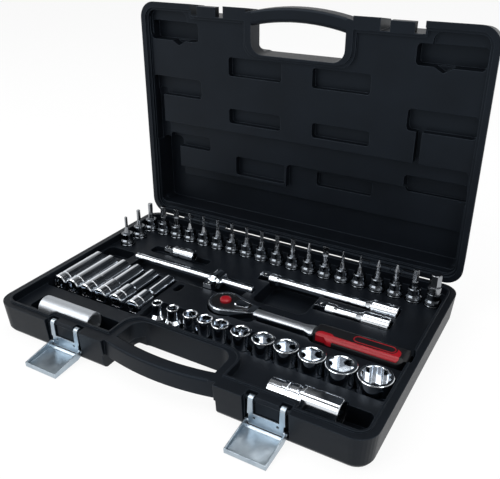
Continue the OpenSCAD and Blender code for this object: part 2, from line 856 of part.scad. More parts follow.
module ratchet_body() {
    color("#d4d7db")
        at_ratchet()
            difference() {
                union() {
                    translate([0, 0, head_b])
                        linear_extrude(head_t - 0.8)
                            head2d(head_r);
                    translate([0, 0, head_top - 0.8])
                        linear_extrude(0.8)
                            head2d(head_r - 0.9);
                    // shank, with a flare where it enters the grip
                    xcyl(30, ratchet_len - 24, 0, rat_z, shank_h/2);
                    translate([0, 0, rat_z - shank_h/2])
                        linear_extrude(shank_h)
                            polygon([[28, -shank_w/2], [28, shank_w/2],
                                [grip_x0 - 9.5, shank_w/2 - 0.6], [grip_x0 - 3.5, shank_w/2 + 1.6],
                                [flare_x, shank_w/2 + 1.6], [flare_x, -shank_w/2 - 1.6],
                                [grip_x0 - 3.5, -shank_w/2 - 1.6],
                                [grip_x0 - 9.5, -shank_w/2 + 0.6]]);
                }
                // plate recess, gear chamber and the drive's opening
                translate([0, 0, head_top - plate_t])
                    linear_extrude(5)
                        plate2d(0.1);
                translate([0, 0, gear_z0 - 0.1])
                    cylinder(r = gear_r + 0.25, h = 20);
                translate([0, 0, head_b - 1])
                    cylinder(r = 8.1, h = 20);
                // pawl chamber
                translate([0, 0, gear_z0 - 0.1])
                    linear_extrude(20)
                        rr2(8, 27, -7.2, 7.2, 2);
                // screw holes
                for (s = [-1, 1])
                    translate([3, s*(head_r - 4.9), head_top - 6])
                        cylinder(r = 0.85, h = 8);
            }
}

module ratchet_cover_plate() {
    color("#2b2d31")
        at_ratchet()
            difference() {
                translate([0, 0, head_top - plate_t])
                    linear_extrude(plate_t)
                        plate2d(0);
                translate([0, 0, head_top - 4])
                    cylinder(r = 5.9, h = 8);
                translate([post_x, 0, head_top - 4])
                    cylinder(r = 3.1, h = 8);
                for (s = [-1, 1])
                    translate([3, s*(head_r - 4.9), head_top - 4])
                        cylinder(r = 0.9, h = 8);
            }
}

module ratchet_screws() {
    color("#6c6f74")
        at_ratchet()
            for (s = [-1, 1])
                translate([3, s*(head_r - 4.9), 0])
                    difference() {
                        union() {
                            translate([0, 0, head_top - 5.6])
                                cylinder(r = 0.8, h = 5.6);
                            translate([0, 0, head_top])
                                cylinder(r1 = 1.7, r2 = 1.3, h = 0.7);
                        }
                        translate([-2, -0.2, head_top + 0.35])
                            cube([4, 0.4, 1]);
                    }
}

module ratchet_gear() {
    root = gear_r - 0.9;
    color("#8b8e92")
        at_ratchet()
            difference() {
                union() {
                    translate([0, 0, gear_z0])
                        linear_extrude(gear_z1 - gear_z0)
                            union() {
                                circle(root);
                                for (i = [0:gear_teeth - 1])
                                    rotate([0, 0, i*360/gear_teeth])
                                        polygon([[root - 0.6, -PI*root/gear_teeth*0.98],
                                            [gear_r, -0.12], [gear_r, 0.12],
                                            [root - 0.6, PI*root/gear_teeth*0.98]]);
                            }
                    translate([0, 0, head_b - 0.4])
                        cylinder(r = 7.9, h = 4);
                    // drive square with a bevelled end
                    translate([-square_af/2, -square_af/2, head_b - square_len])
                        cube([square_af, square_af, square_len + 1]);
                }
                // bore for the release button's stem, and the well its cap sinks into
                translate([0, 0, head_b - square_len + 1.4])
                    cylinder(r = 2.5, h = 40);
                translate([0, 0, gear_z1 - 1.2])
                    cylinder(r = 6.1, h = 5);
                // the ball's radial hole
                translate([-square_af/2 - 1, 0, head_b - square_len + 5])
                    rotate([0, 90, 0])
                        cylinder(r = ball_d/2 + 0.04, h = square_af/2 - 1.4);
            }
}

module ratchet_ball() {
    color("#d4d7db")
        at_ratchet()
            translate([-square_af/2 + ball_d/2 - 0.7, 0, head_b - square_len + 5])
                sphere(d = ball_d);
}

module ratchet_button() {
    color("#b41e28")
        at_ratchet() {
            // the stem backs the ball; pressed, its groove comes level and lets the ball in
            translate([0, 0, head_b - square_len])
                rotate_extrude()
                    polygon([[0, 3.6], [2.4, 3.6], [2.4, 6.2], [1.3, 6.8], [1.3, 9], [2.4, 9.8],
                        [2.4, head_t + square_len], [0, head_t + square_len]]);
            translate([0, 0, head_top])
                rotate_extrude()
                    polygon([[0, -0.1], [5.6, -0.1], [5.6, 1.7], [5.1, 2.6], [4, 3.2], [2.4, 3.5],
                        [0, 3.6]]);
        }
}

module ratchet_pawl() {
    color("#77797d")
        at_ratchet()
            difference() {
                translate([0, 0, gear_z0 + 0.2])
                    linear_extrude(gear_z1 - gear_z0 - 0.6)
                        difference() {
                            rr2(9.6, 17.6, -5.4, 5.4, 1.6);
                            circle(gear_r + 0.5);
                            // teeth facing the gear
                            for (i = [-3:3])
                                rotate([0, 0, (i + 0.5)*360/gear_teeth])
                                    polygon([[gear_r + 0.2, -0.55], [gear_r + 1.1, 0],
                                        [gear_r + 0.2, 0.55]]);
                        }
                // the hole for the spring
                xcyl(14.4, 20, 0, (gear_z0 + gear_z1)/2, 1.5);
            }
}

module pawl_spring() {
    color("#9a9da1")
        at_ratchet()
            translate([14.6, 0, (gear_z0 + gear_z1)/2])
                rotate([0, 90, 0])
                    linear_extrude(height = 4, twist = -360*3, slices = 36, segments = 6)
                        translate([0.95, 0])
                            circle(0.3, $fn = 6);
}

module reversing_lever() {
    color("#3a3c40")
        at_ratchet() {
            translate([post_x, 0, gear_z0 + 0.3])
                cylinder(r = 2.4, h = head_top - gear_z0);
            translate([post_x, 0, head_top + 0.3])
                cylinder(r = 4.4, h = 1.8);
            // thumb tab, pointing to the button
            translate([0, 0, head_top + 0.3])
                linear_extrude(1.8)
                    polygon([[post_x, 4.2], [post_x - 6.5, 6], [post_x - 9.5, 4.4],
                        [post_x - 10.4, 0], [post_x - 9.5, -4.4], [post_x - 6.5, -6],
                        [post_x, -4.2]]);
            // ridge across the tab
            translate([post_x - 9.2, -3.6, head_top + 1.9])
                cube([1.6, 7.2, 1]);
        }
}

grip_x0 = ratchet_len - grip_len;
grip_x1 = ratchet_len;
grip_top = rat_z + grip_h/2;
flare_x = grip_x0 + 1.1;    // the shank's flare ends here, inside the grip

// the oval field on the grip's top
module badge2d(g) {
    rr2(grip_x0 + 37.5 - g, grip_x1 - 12.8 + g, -4 - g, 5.4 + g, 4.6 + g);
}

// red inlay seen from above
module inlay2d() {
    difference() {
        union() {
            // bulb at the front end, over the grip's shoulder
            rr2(grip_x0 + 5, grip_x0 + 22, -14, -3.6, 5);
            // band along the shoulder
            rr2(grip_x0 + 12, grip_x1 - 7.5, -11.2, -6, 2.5);
            // hook round the oval field
            rr2(grip_x1 - 26, grip_x1 - 7.5, -11.2, 4, 7);
        }
        badge2d(1.2);
    }
    // the field's border
    difference() {
        badge2d(0);
        badge2d(-0.9);
    }
}

// the grip's outer form, grown by g
module grip_form(g) {
    w = grip_w/2 + g;
    low = rat_z - grip_h/2 - g;
    intersection() {
        // plan
        translate([0, 0, rat_z - grip_h])
            linear_extrude(2*grip_h)
                union() {
                    rr2(grip_x0 - g, grip_x0 + 26, -w + 2.4, w - 3.4, 7 + g);
                    rr2(grip_x0 + 10 - g, grip_x1 + g, -w, w, 10 + g);
                }
        // section
        translate([grip_x0 - 2, 0, 0])
            rotate([90, 0, 90])
                linear_extrude(grip_len + 4)
                    rr2(-w, w, low, grip_top + g, 6.4 + g);
        // side
        translate([0, grip_w, 0])
            rotate([90, 0, 0])
                linear_extrude(2*grip_w)
                    union() {
                        rr2(grip_x0 - g, grip_x0 + 30, low + 2.2, grip_top + g, 5 + g);
                        rr2(grip_x0 + 14 - g, grip_x1 + g, low, grip_top + g, 6 + g);
                    }
    }
}

module inlay_prism() {
    translate([0, 0, rat_z + 1])
        linear_extrude(grip_h)
            inlay2d();
}

module ratchet_grip() {
    color("#191a1d")
        at_ratchet()
            difference() {
                grip_form(0);
                // the steel core
                xcyl(grip_x0 - 3, ratchet_len - 24, 0, rat_z, shank_h/2);
                box(grip_x0 - 3, flare_x, -shank_w/2 - 1.6, shank_w/2 + 1.6, rat_z - shank_h/2,
                    rat_z + shank_h/2);
                difference() {
                    inlay_prism();
                    grip_form(-inlay_t);
                }
            }
}

module grip_inlay() {
    color("#b41e28")
        at_ratchet()
            difference() {
                intersection() {
                    inlay_prism();
                    grip_form(0.3);
                }
                grip_form(-inlay_t);
            }
}

// ---------- T-bar, extensions, adapter ----------

module tbar_rod() {
    color("#d4d7db")
        translate([tbar_x, tbar_y, tbar_z])
            rotate([0, 90, 0])
                rotate_extrude()
                    polygon([[0, 0], [rod_r - 0.8, 0], [rod_r, 0.8], [rod_r, 3.4], [rod_r - 0.5, 3.8],
                        [rod_r - 0.5, 4.6], [rod_r, 5], [rod_r, rod_len - 5],
                        [rod_r - 0.5, rod_len - 4.6], [rod_r - 0.5, rod_len - 3.8],
                        [rod_r, rod_len - 3.4], [rod_r, rod_len - 0.8], [rod_r - 0.8, rod_len],
                        [0, rod_len]]);
}

slide_y0 = tbar_y - 10;
slide_y1 = tbar_y + 9;

module tbar_head() {
    color("#d4d7db")
        translate([slide_x, 0, tbar_z])
            difference() {
                union() {
                    translate([0, slide_y1, 0])
                        rotate([90, 0, 0])
                            rotate_extrude()
                                polygon([[0, 0], [slide_r - 1.6, 0], [slide_r, 1.6],
                                    [slide_r, slide_y1 - slide_y0 - 2.4],
                                    [slide_r - 2, slide_y1 - slide_y0], [0, slide_y1 - slide_y0]]);
                    box(-square_af/2, square_af/2, slide_y0 - square_len + 1, slide_y0 + 1,
                        -square_af/2, square_af/2);
                }
                xcyl(-20, 20, tbar_y, 0, rod_r + 0.05);
                translate([0, slide_y0 - square_len + 5, square_af/2 - 2.5])
                    cylinder(r = ball_d/2 + 0.04, h = 5);
            }
}

module tbar_ball() {
    color("#b9bcc0")
        translate([slide_x, slide_y0 - square_len + 5, tbar_z + square_af/2 - ball_d/2 + 0.7])
            sphere(d = ball_d);
}

// an extension lying along X, square end to the left
module extension(len) {
    r = ext_od/2;
    l = len - square_len;       // without the square
    rotate([0, 90, 0])
        difference() {
            union() {
                translate([0, 0, square_len])
                    rotate_extrude()
                        polygon([[0, 0], [5.4, 0], [6.3, 0.9], [6.3, 9], [4.7, 12], [4.7, l - 33],
                            [6.6, l - 28], [r - 0.3, l - 26], [r, l - 25], [r, l - 9], [r - 0.5, l - 8.6],
                            [r - 0.5, l - 7.2], [r, l - 6.8], [r, l - 0.7], [r - 0.7, l], [0, l]]);
                translate([-square_af/2, -square_af/2, 0])
                    cube([square_af, square_af, square_len + 1]);
            }
            translate([0, 0, len - square_len - 1.5])
                linear_extrude(square_len + 5)
                    square(square_hole, center = true);
            // ball hole in the square's upper face
            translate([-square_af/2 - 1, 0, 5])
                rotate([0, 90, 0])
                    cylinder(r = ball_d/2 + 0.04, h = 3.5);
        }
}

module ext_ball() {
    translate([5, 0, square_af/2 - ball_d/2 + 0.7])
        sphere(d = ball_d);
}

module extension_long() {
    color("#d4d7db")
        translate([ext_l_x, ext_l_y, ext_z])
            extension(ext_long);
}

module extension_long_ball() {
    color("#b9bcc0")
        translate([ext_l_x, ext_l_y, ext_z])
            ext_ball();
}

module extension_short() {
    color("#d4d7db")
        translate([ext_s_x, ext_s_y, ext_z])
            extension(ext_short);
}

module extension_short_ball() {
    color("#b9bcc0")
        translate([ext_s_x, ext_s_y, ext_z])
            ext_ball();
}

module drive_adapter() {
    l = adap_len - square_len;
    color("#d4d7db")
        translate([adap_x, adap_y, adap_z])
            rotate([0, 90, 0])
                difference() {
                    union() {
                        translate([0, 0, square_len])
                            rotate_extrude()
                                polygon([[0, 0], [4.6, 0], [6.4, 3], [6.4, 9], [5.8, 9.6], [5.8, 11],
                                    [6.4, 11.6], [6.6, 16], [6.6, l - 0.6], [6, l], [0, l]]);
                        translate([-adap_af/2, -adap_af/2, 0])
                            cube([adap_af, adap_af, square_len + 1]);
                    }
                    translate([0, 0, adap_len - 11])
                        linear_extrude(15)
                            circle(r = adap_hex_r, $fn = 6);
                    translate([-4.2, 0, 4.6])
                        rotate([0, 90, 0])
                            cylinder(r = 1.04, h = 2.6);
                }
}

module adapter_ball() {
    color("#b9bcc0")
        translate([adap_x + 4.6, adap_y, adap_z + adap_af/2 - 1 + 0.45])
            sphere(r = 1);
}

// ---------- bit sockets ----------

shank_af = 6.3;

module holder() {
    r = holder_od/2;
    rotate_extrude()
        polygon([[0, 0], [r - 0.8, 0], [r, 0.8], [r, 15], [r - 0.5, 15.4], [r - 0.5, 16.4],
            [r - 0.1, 16.8], [r - 0.1, 19.4], [r - 1.6, 21], [r - 1.6, holder_len - 0.7],
            [r - 2.3, holder_len], [0, holder_len]]);
}

module holders(list) {
    color("#d4d7db")
        for (b = list)
            translate([bit_x(b[0]), bit_y(b[0]), collar_z - holder_len])
                difference() {
                    holder();
                    translate([0, 0, -1])
                        linear_extrude(square_len + 2)
                            square(square_hole, center = true);
                    translate([0, 0, holder_len - 10])
                        linear_extrude(11)
                            circle(r = (max(shank_af, b[1]) + 0.06)/sqrt(3), $fn = 6);
                }
}

// the six-sided root that sits in the holder, and what stands on it
module bits(list, kind) {
    color("#a9acb1")
        for (b = list) {
            af = max(shank_af, b[1]);
            translate([bit_x(b[0]), bit_y(b[0]), collar_z])
                union() {
                    translate([0, 0, -9.5])
                        linear_extrude(9.5 + (kind == "hex" && b[1] > 8 ? bit_out - 0.6 : 1.2))
                            circle(r = af/sqrt(3), $fn = 6);
                    bit_tip(kind, b[1]);
                    // collar of a bit as wide as its holder's hole
                    if (b[1] > 8)
                        cylinder(r = af*0.66, h = 7);
                }
        }
}

module bit_tip(kind, s) {
    r = s/2;
    // round neck between the root and the working end
    if (s < shank_af)
        translate([0, 0, 1.1])
            cylinder(r1 = shank_af/2, r2 = r/cos(30) + 0.15, h = 6);
    if (kind == "hex") {
        translate([0, 0, 1])
            linear_extrude(bit_out - 1.4)
                circle(r = s/sqrt(3), $fn = 6);
        translate([0, 0, bit_out - 0.6])
            cylinder(r1 = s/2, r2 = s/2 - 0.4, h = 0.6);
    }
    if (kind == "star")
        translate([0, 0, 1])
            linear_extrude(bit_out - 1)
                union() {
                    circle(r*0.8);
                    for (a = [0:60:300])
                        rotate([0, 0, a])
                            translate([r*0.72, 0])
                                circle(r*0.3);
                }
    if (kind == "slotted") {
        translate([0, 0, 1])
            cylinder(r = 3, h = 9);
        translate([0, 0.6, 9])
            rotate([90, 0, 0])
                linear_extrude(1.2)
                    polygon([[-2.9, 0], [2.9, 0], [s/2, 4], [s/2, bit_out - 9], [-s/2, bit_out - 9],
                        [-s/2, 4]]);
    }
    if (kind == "cross") {
        translate([0, 0, 1])
            cylinder(r = r, h = bit_out - 8);
        intersection() {
            translate([0, 0, bit_out - 7.1])
                cylinder(r1 = r, r2 = r*0.32, h = 7.1);
            union() {
                box(-r, r, -r*0.24, r*0.24, bit_out - 7.1, bit_out);
                box(-r*0.24, r*0.24, -r, r, bit_out - 7.1, bit_out);
            }
        }
    }
}

module holders_hex() { holders(hex_at); }
module bits_hex() { bits(hex_at, "hex"); }
module holders_star() { holders(torx_at); }
module bits_star() { bits(torx_at, "star"); }
module holders_slotted() { holders(slot_at); }
module bits_slotted() { bits(slot_at, "slotted"); }
module holders_cross() { holders(cross_at); }
module bits_cross() { bits(cross_at, "cross"); }

case_base();
case_lid();
hinge_pins();
latch_link_left();
latch_cover_left();
latch_link_right();
latch_cover_right();
ratchet_body();
ratchet_cover_plate();
ratchet_screws();
ratchet_gear();
ratchet_ball();
ratchet_button();
ratchet_pawl();
pawl_spring();
reversing_lever();
ratchet_grip();
grip_inlay();
tbar_rod();
tbar_head();
tbar_ball();
extension_long();
extension_long_ball();
extension_short();
extension_short_ball();
drive_adapter();
adapter_ball();
plug_socket_16();
plug_insert_16();
plug_socket_21();
plug_insert_21();
deep_socket_13();
deep_socket_12();
deep_socket_11();
deep_socket_10();
deep_socket_9();
deep_socket_8();
socket_7();
socket_8();
socket_10();
socket_11();
socket_12();
socket_13();
socket_15();
socket_16();
socket_17();
socket_19();
socket_22();
holders_hex();
bits_hex();
holders_star();
bits_star();
holders_slotted();
bits_slotted();
holders_cross();
bits_cross();
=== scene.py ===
"""A socket wrench set in its open case: finishes, small pieces and the studio round it."""

import json
import math

import bpy
from bpy.props import FloatProperty, FloatVectorProperty, IntProperty, PointerProperty
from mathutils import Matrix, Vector


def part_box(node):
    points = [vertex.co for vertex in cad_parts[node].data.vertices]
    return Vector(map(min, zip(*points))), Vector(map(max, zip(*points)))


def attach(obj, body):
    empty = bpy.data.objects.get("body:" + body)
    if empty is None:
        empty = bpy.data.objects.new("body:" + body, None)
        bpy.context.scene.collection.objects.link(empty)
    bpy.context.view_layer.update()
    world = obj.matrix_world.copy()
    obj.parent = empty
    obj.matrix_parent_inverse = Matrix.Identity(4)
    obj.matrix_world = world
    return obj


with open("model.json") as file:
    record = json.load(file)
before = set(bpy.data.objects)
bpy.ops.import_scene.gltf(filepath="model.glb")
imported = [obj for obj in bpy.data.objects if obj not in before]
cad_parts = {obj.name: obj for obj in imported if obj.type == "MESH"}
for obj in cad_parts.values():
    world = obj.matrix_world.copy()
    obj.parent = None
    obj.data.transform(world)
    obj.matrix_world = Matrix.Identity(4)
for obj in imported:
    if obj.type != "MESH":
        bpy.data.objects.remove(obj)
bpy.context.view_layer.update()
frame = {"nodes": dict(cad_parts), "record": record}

bl_info = {
    "name": "Socket set finishes",
    "version": (1, 0, 0),
    "blender": (4, 5, 0),
    "location": "3D View > Sidebar > Socket set",
    "description": "Finishes, trim and a studio for a socket wrench set in its case",
    "category": "Object",
}

MM = 0.001
NODES = frame["nodes"]
BODIES = frame["record"]["behaviour"]["bodies"]
JOINTS = frame["record"]["behaviour"]["joints"]


def linear(hex_colour):
    """Linear RGBA from an sRGB hex colour."""
    channels = [int(hex_colour[i:i + 2], 16) / 255 for i in (1, 3, 5)]
    return (*[c / 12.92 if c <= 0.04045 else ((c + 0.055) / 1.055) ** 2.4 for c in channels], 1.0)


def colour(name, text, hex_colour):
    """A colour property with its default as a hex colour."""
    return FloatVectorProperty(
        name=name, description=text, subtype="COLOR", size=4, min=0, max=1, default=linear(hex_colour)
    )


def millimetres(name, text, value):
    """A length property with its default in millimetres."""
    return FloatProperty(name=name, description=text, subtype="DISTANCE", unit="LENGTH", default=value * MM)


# ---------- what a user would change ----------


class SocketSetColours(bpy.types.PropertyGroup):
    """Colours of the finishes."""

    plastic: colour("Case plastic", "Charcoal HDPE of both case halves", "#080A0E")
    plastic_worn: colour("Case plastic, rubbed", "The same plastic where handling has rubbed it", "#10141A")
    # the edge colour stands for scuffs and also for a painted highlight where the rounded rims catch the
    # light
    plastic_edge: colour("Case plastic, edges", "The same plastic, scuffed along its edges", "#262C33")
    chrome: colour("Chrome", "Bright plating of the tools", "#DDE2E8")
    dark_chrome: colour("Holder chrome", "Plating over the bit holders' dark steel", "#6E7379")
    satin: colour("Satin chrome", "Dull plating of the shank's crown and the plain plug socket", "#C0C5CB")
    zinc: colour("Zinc", "Blue-white zinc plating of the latches", "#A0ADB8")
    zinc_clouded: colour("Zinc, clouded", "The same plating where the passivation is thinner", "#B4C0C9")
    tool_steel: colour("Tool steel", "Bare alloy steel of the bits and the ratchet's gear", "#8F9296")
    pin_steel: colour("Pin steel", "Bright steel of the hinge pins and the detent balls", "#A9ABAD")
    oxide: colour("Black oxide", "Blackened steel of the ratchet's cover plate and screws", "#1C1D1F")
    oxide_grain: colour("Black oxide, grain", "The same steel on the peaks of its grain", "#2B2C2F")
    red: colour("Red", "Red of the grip's inlay and the release button", "#8C101B")
    red_deep: colour("Red, deep", "The same plastic where its pigment is denser", "#800E18")
    grip: colour("Grip", "Black elastomer of the ratchet's grip", "#07080B")
    grip_worn: colour("Grip, rubbed", "The same elastomer where a hand has rubbed it", "#0C0D11")
    rubber: colour("Rubber", "Rubber rings inside the plug sockets", "#0E0E0E")
    rubber_dusty: colour("Rubber, dusty", "The same rubber with its bloom", "#1A1A1A")


class SocketSetSizes(bpy.types.PropertyGroup):
    """Sizes of the finishes' texture and of the trim."""

    plastic_grain: millimetres("Plastic grain", "Spacing of the etched grain on the case", 0.9)
    plastic_edge: millimetres("Plastic edge", "Radius of the case's moulded edges", 0.9)
    metal_edge: millimetres("Metal edge", "Radius of the tools' broken edges", 0.22)
    brush_spacing: millimetres("Brush spacing", "Spacing of polishing lines on the metal", 0.5)
    heel_sheet: millimetres("Heel sheet", "Thickness of the latch covers' curled heel", 0.9)
    heel_curl: millimetres("Heel curl", "Radius of the latch covers' curled heel", 4)
    crown_top: millimetres("Crown height", "Height of the middle of the shank's crown", 28.7)
    knurl_low: millimetres("Knurl, lower edge", "Height of its lower edge over a holder's foot", 16.8)
    knurl_high: millimetres("Knurl, upper edge", "Height of its upper edge over a holder's foot", 19.4)
    knurl_inset: millimetres("Knurl inset", "Depth of the knurl's base under a holder's surface", 0.08)
    knurl_depth: millimetres("Knurl depth", "Height of the knurl's pyramids", 0.22)
    knurl_rows: IntProperty(name="Knurl rows", description="Rows of pyramids in a knurl", default=3, min=1)
    knurl_teeth: IntProperty(name="Knurl teeth", description="Pyramids in one row", default=44, min=8)


def colours():
    """The scene's finish colours."""
    return bpy.context.scene.socket_set_colours


def sizes():
    """The scene's texture and trim sizes."""
    return bpy.context.scene.socket_set_sizes


# ---------- materials ----------

# nearly all of a noise lies in this middle stretch of 0 to 1
MIDDLE = {"From Min": 0.3, "From Max": 0.7}


def add(tree, kind, inputs=None, **settings):
    """Adds a shader node, with its settings, its constant inputs and its links, and gives its outputs."""
    node = tree.nodes.new("ShaderNode" + kind)
    for name, value in settings.items():
        setattr(node, name, value)
    for name, value in (inputs or {}).items():
        socket = node.inputs[name]
        if isinstance(value, bpy.types.NodeSocket):
            tree.links.new(value, socket)
        else:
            socket.default_value = value
    return node.outputs


def start(name, constants):
    """A new material with its shader's constant values, as (material, tree, shader, object coordinates)."""
    material = bpy.data.materials.new(name)
    material.use_nodes = True
    tree = material.node_tree
    shader = tree.nodes["Principled BSDF"]
    for key, value in constants.items():
        shader.inputs[key].default_value = value
    coordinates = add(tree, "TexCoord")["Object"]
    return material, tree, shader, coordinates


def edge_share(tree, radius):
    """1 along edges that a radius rounds off, fading to 0 on open surfaces."""
    face = add(tree, "NewGeometry")["Normal"]
    rounded = add(tree, "Bevel", {"Radius": radius}, samples=6)["Normal"]
    same = add(tree, "VectorMath", {0: rounded, 1: face}, operation="DOT_PRODUCT")["Value"]
    return add(
        tree, "MapRange", {"Value": same, "From Min": 0.995, "From Max": 0.8, "To Min": 0, "To Max": 1}
    )["Result"]


def blow_moulded_hdpe():
    """High-density polyethylene, blown into an etched mould: a fine grain that breaks up a soft gloss."""
    c, s = colours(), sizes()
    material, tree, shader, at = start(
        "blow_moulded_hdpe", {"IOR": 1.54, "Specular IOR Level": 0.18, "Specular Tint": linear("#C9DDF2")}
    )
    # handling leaves patches about 45 mm wide
    patches = add(tree, "TexNoise", {"Vector": at, "Scale": 1 / (45 * MM), "Detail": 2})["Fac"]
    rubbed = add(tree, "MapRange", {"Value": patches, **MIDDLE, "To Min": 0, "To Max": 0.5})["Result"]
    body = add(tree, "Mix", {0: rubbed, 6: c.plastic, 7: c.plastic_worn}, data_type="RGBA")[2]
    # edges are painted lighter, partly as polishing and scuffs in marks about 6 mm long and partly as a
    # painted highlight where the rounded rims catch the light
    scuffs = add(
        tree, "TexNoise", {"Vector": at, "Scale": 1 / (6 * MM), "Detail": 4, "Roughness": 0.7}
    )["Fac"]
    marked = add(tree, "MapRange", {"Value": scuffs, **MIDDLE, "To Min": 0.25, "To Max": 1})["Result"]
    scuff_and_highlight = add(tree, "Math", {0: edge_share(tree, 1.3 * MM), 1: marked}, operation="MULTIPLY")[0]
    both = add(tree, "Mix", {0: scuff_and_highlight, 6: body, 7: c.plastic_edge}, data_type="RGBA")[2]
    tree.links.new(both, shader.inputs["Base Color"])
    # the mould's etched grain is about 0.2 mm, and drawn coarser so that it shows
    grain = add(
        tree, "TexNoise", {"Vector": at, "Scale": 1 / s.plastic_grain, "Detail": 2, "Roughness": 0.6}
    )["Fac"]
    dull = add(tree, "MapRange", {"Value": grain, **MIDDLE, "To Min": 0.36, "To Max": 0.5})["Result"]
    tree.links.new(dull, shader.inputs["Roughness"])
    # a blown wall sinks and swells a little over about 18 mm
    wave = add(tree, "TexNoise", {"Vector": at, "Scale": 1 / (18 * MM), "Detail": 1})["Fac"]
    edge = add(tree, "Bevel", {"Radius": s.plastic_edge}, samples=6)["Normal"]
    etched = add(tree, "Bump", {"Height": grain, "Distance": 0.05 * MM, "Normal": edge})["Normal"]
    relief = add(tree, "Bump", {"Height": wave, "Distance": 0.25 * MM, "Normal": etched})["Normal"]
    tree.links.new(relief, shader.inputs["Normal"])
    return material


def chrome_plate(name, tint, dulled=0.0):
    """Forged steel, polished and bright chromed: a mirror with faint polishing lines."""
    s = sizes()
    material, tree, shader, at = start(name, {"Metallic": 1.0, "Base Color": tint})
    # a wiping cloth leaves smears about 9 mm wide
    smears = add(tree, "TexNoise", {"Vector": at, "Scale": 1 / (9 * MM), "Detail": 2})["Fac"]
    dull = add(
        tree, "MapRange", {"Value": smears, **MIDDLE, "To Min": 0.05 + dulled, "To Max": 0.13 + dulled}
    )["Result"]
    tree.links.new(dull, shader.inputs["Roughness"])
    # polishing lines are about 0.05 mm apart, and drawn coarser so that they show
    lines = add(
        tree, "TexNoise", {"Vector": at, "Scale": 1 / s.brush_spacing, "Detail": 2, "Roughness": 0.6}
    )["Fac"]
    edge = add(tree, "Bevel", {"Radius": s.metal_edge}, samples=4)["Normal"]
    relief = add(tree, "Bump", {"Height": lines, "Distance": 0.0012 * MM, "Normal": edge})["Normal"]
    tree.links.new(relief, shader.inputs["Normal"])
    return material


def satin_chrome(name, spacing, stretch, rough, depth):
    """Steel finished and plated dull: fine lines of a spacing and depth, and a soft, bright sheen."""
    c, s = colours(), sizes()
    material, tree, shader, at = start(name, {"Metallic": 1.0, "Base Color": c.satin})
    drawn = add(tree, "Mapping", {"Vector": at, "Scale": stretch})["Vector"]
    lines = add(
        tree, "TexNoise", {"Vector": drawn, "Scale": 1 / spacing, "Detail": 2, "Roughness": 0.6}
    )["Fac"]
    dull = add(
        tree, "MapRange", {"Value": lines, **MIDDLE, "To Min": rough - 0.06, "To Max": rough + 0.06}
    )["Result"]
    tree.links.new(dull, shader.inputs["Roughness"])
    edge = add(tree, "Bevel", {"Radius": s.metal_edge}, samples=4)["Normal"]
    relief = add(tree, "Bump", {"Height": lines, "Distance": depth, "Normal": edge})["Normal"]
    tree.links.new(relief, shader.inputs["Normal"])
    return material


def zinc_plated_sheet():
    """Pressed steel sheet, zinc plated and blue passivated: a cool, slightly cloudy metal."""
    c = colours()
    material, tree, shader, at = start("zinc_plated_sheet", {"Metallic": 1.0})
    # the passivation clouds over about 7 mm
    clouds = add(tree, "TexNoise", {"Vector": at, "Scale": 1 / (7 * MM), "Detail": 3})["Fac"]
    thin = add(tree, "MapRange", {"Value": clouds, **MIDDLE, "To Min": 0, "To Max": 1})["Result"]
    tint = add(tree, "Mix", {0: thin, 6: c.zinc, 7: c.zinc_clouded}, data_type="RGBA")[2]
    tree.links.new(tint, shader.inputs["Base Color"])
    dull = add(tree, "MapRange", {"Value": clouds, **MIDDLE, "To Min": 0.3, "To Max": 0.38})["Result"]
    tree.links.new(dull, shader.inputs["Roughness"])
    # pressing leaves the sheet a little out of flat over 16 mm, and drawing lines 0.8 mm apart
    sprung = add(tree, "TexNoise", {"Vector": at, "Scale": 1 / (16 * MM), "Detail": 0})["Fac"]
    along = add(tree, "Mapping", {"Vector": at, "Scale": (1.0, 0.08, 0.08)})["Vector"]
    lines = add(
        tree, "TexNoise", {"Vector": along, "Scale": 1 / (0.8 * MM), "Detail": 2, "Roughness": 0.6}
    )["Fac"]
    edge = add(tree, "Bevel", {"Radius": 0.6 * MM}, samples=6)["Normal"]
    bowed = add(tree, "Bump", {"Height": sprung, "Distance": 0.9 * MM, "Normal": edge})["Normal"]
    relief = add(tree, "Bump", {"Height": lines, "Distance": 0.012 * MM, "Normal": bowed})["Normal"]
    tree.links.new(relief, shader.inputs["Normal"])
    return material


def ground_steel(name, tint, rough):
    """Hardened steel, ground or tumbled: grey, with short scratches."""
    s = sizes()
    material, tree, shader, at = start(name, {"Metallic": 1.0, "Base Color": tint})
    # scratches 0.5 mm apart run ten times as long along Z
    along = add(tree, "Mapping", {"Vector": at, "Scale": (1.0, 1.0, 0.1)})["Vector"]
    scratches = add(
        tree, "TexNoise", {"Vector": along, "Scale": 1 / (0.5 * MM), "Detail": 3, "Roughness": 0.7}
    )["Fac"]
    dull = add(
        tree, "MapRange", {"Value": scratches, **MIDDLE, "To Min": rough - 0.06, "To Max": rough + 0.08}
    )["Result"]
    tree.links.new(dull, shader.inputs["Roughness"])
    edge = add(tree, "Bevel", {"Radius": s.metal_edge}, samples=4)["Normal"]
    relief = add(tree, "Bump", {"Height": scratches, "Distance": 0.01 * MM, "Normal": edge})["Normal"]
    tree.links.new(relief, shader.inputs["Normal"])
    return material


